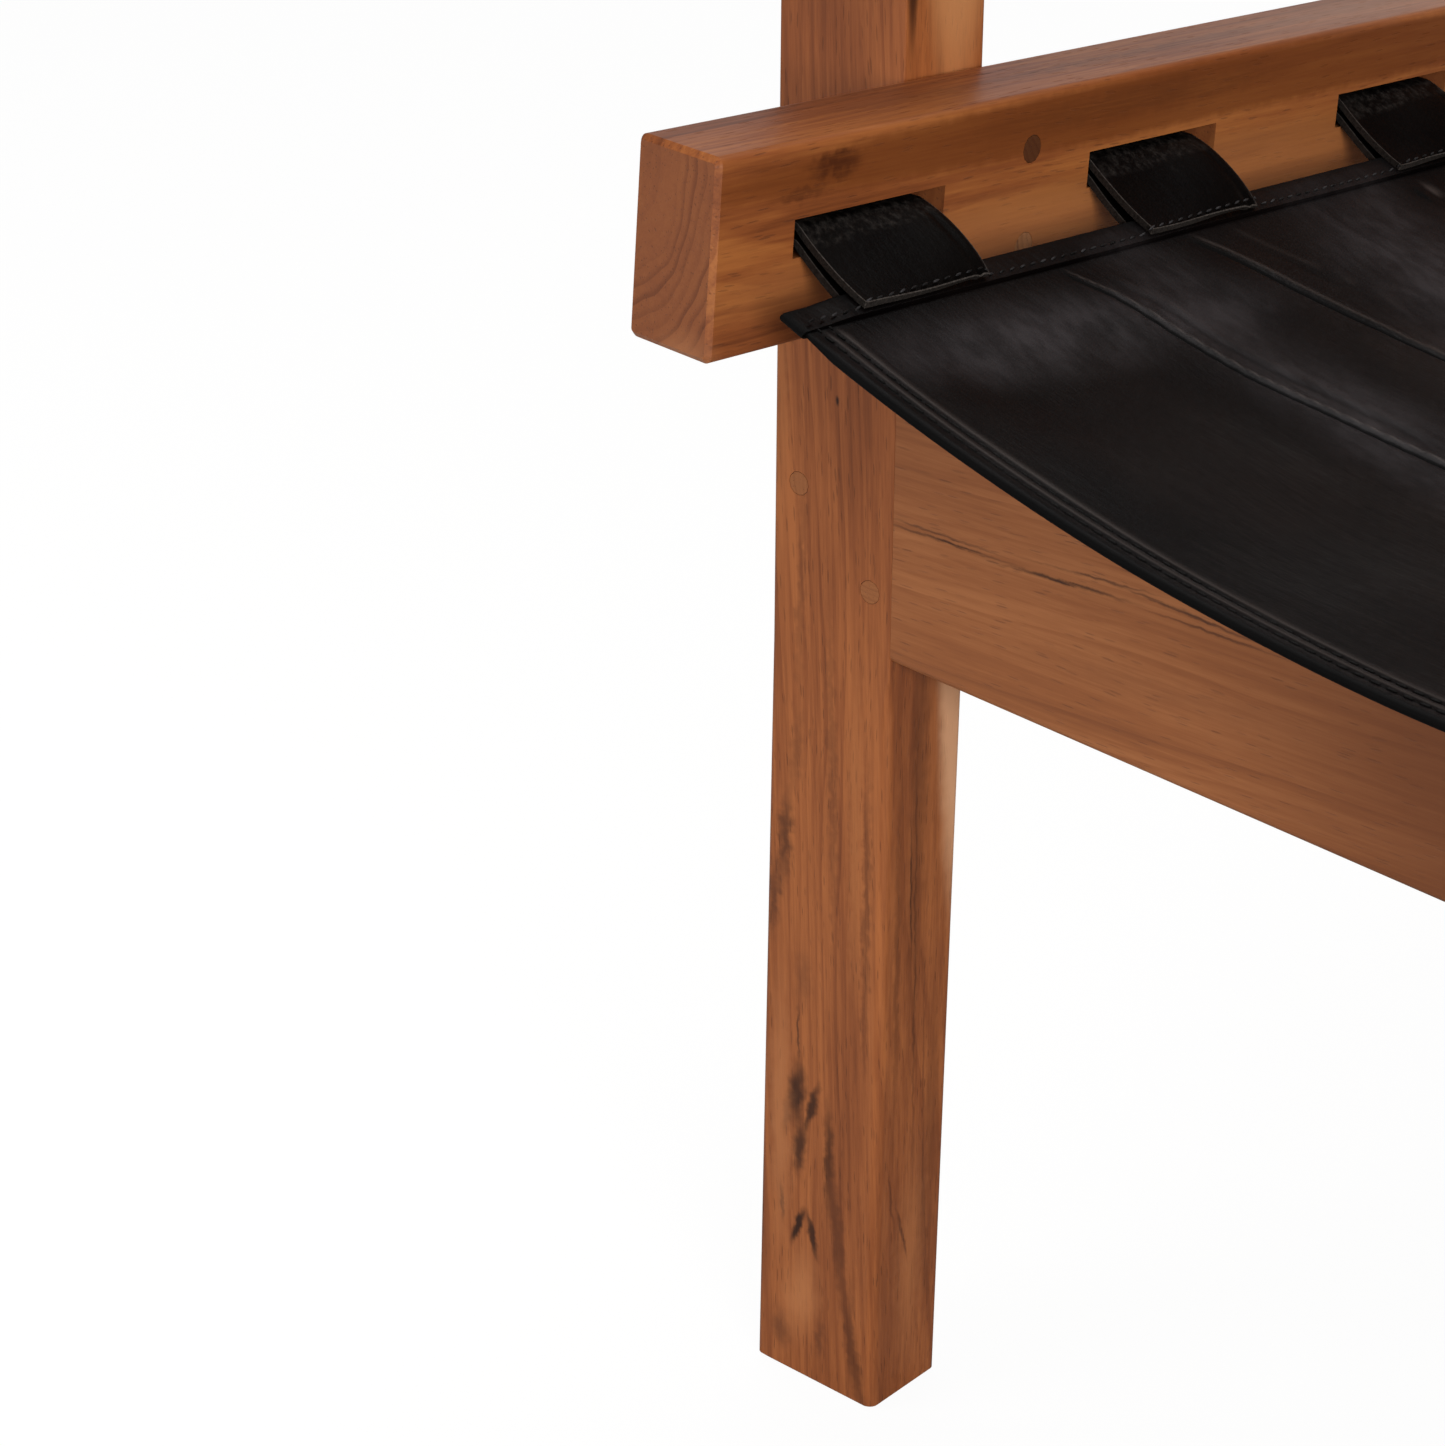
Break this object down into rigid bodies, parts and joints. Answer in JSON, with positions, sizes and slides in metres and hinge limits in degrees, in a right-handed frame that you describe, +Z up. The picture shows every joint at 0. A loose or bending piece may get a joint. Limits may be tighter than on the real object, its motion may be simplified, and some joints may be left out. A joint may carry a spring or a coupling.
{
  "type": "teak and leather sling armchair",
  "caption": "Low teak armchair frame with flat armrests; black leather sling seat and sling back hang from doubled tabs threaded through slots in the side rails",
  "frame": {"origin": "on the floor, midway between the sides and midway between the front and back of the whole chair", "axes": "+X to the right as seen from the front, +Y towards the back, +Z up; the sitter faces -Y"},
  "size_m": [0.7, 0.7359, 0.8565],
  "materials": {
    "teak": "oiled teak, satin",
    "teak_plug": "teak plugs and pegs, end grain showing",
    "black_leather": "black saddle leather, semi-gloss, turned and stitched edges",
    "hardwood_dowel": "plain turned hardwood",
    "zinc_steel": "zinc-plated steel"
  },
  "bodies": {
    "root": {"armrest_left": "teak", "armrest_plugs": "teak_plug", "armrest_right": "teak", "armrest_screws": "zinc_steel", "back_dowels_left": "hardwood_dowel", "back_dowels_right": "hardwood_dowel", "back_rail_low": "teak", "back_rail_top": "teak", "back_sling": "black_leather", "back_stile_left": "teak", "back_stile_right": "teak", "back_tab_left_1": "black_leather", "back_tab_left_2": "black_leather", "back_tab_left_3": "black_leather", "back_tab_right_1": "black_leather", "back_tab_right_2": "black_leather", "back_tab_right_3": "black_leather", "front_apron": "teak", "front_apron_pegs": "teak_plug", "front_leg_left": "teak", "front_leg_plugs": "teak_plug", "front_leg_right": "teak", "front_leg_screws": "zinc_steel", "rear_apron": "teak", "rear_apron_pegs": "teak_plug", "rear_leg_left": "teak", "rear_leg_plugs": "teak_plug", "rear_leg_right": "teak", "rear_leg_screws": "zinc_steel", "seat_dowels_left": "hardwood_dowel", "seat_dowels_right": "hardwood_dowel", "seat_rail_left": "teak", "seat_rail_right": "teak", "seat_sling": "black_leather", "seat_tab_left_1": "black_leather", "seat_tab_left_2": "black_leather", "seat_tab_left_3": "black_leather", "seat_tab_left_4": "black_leather", "seat_tab_right_1": "black_leather", "seat_tab_right_2": "black_leather", "seat_tab_right_3": "black_leather", "seat_tab_right_4": "black_leather"}
  },
  "joints": []
}
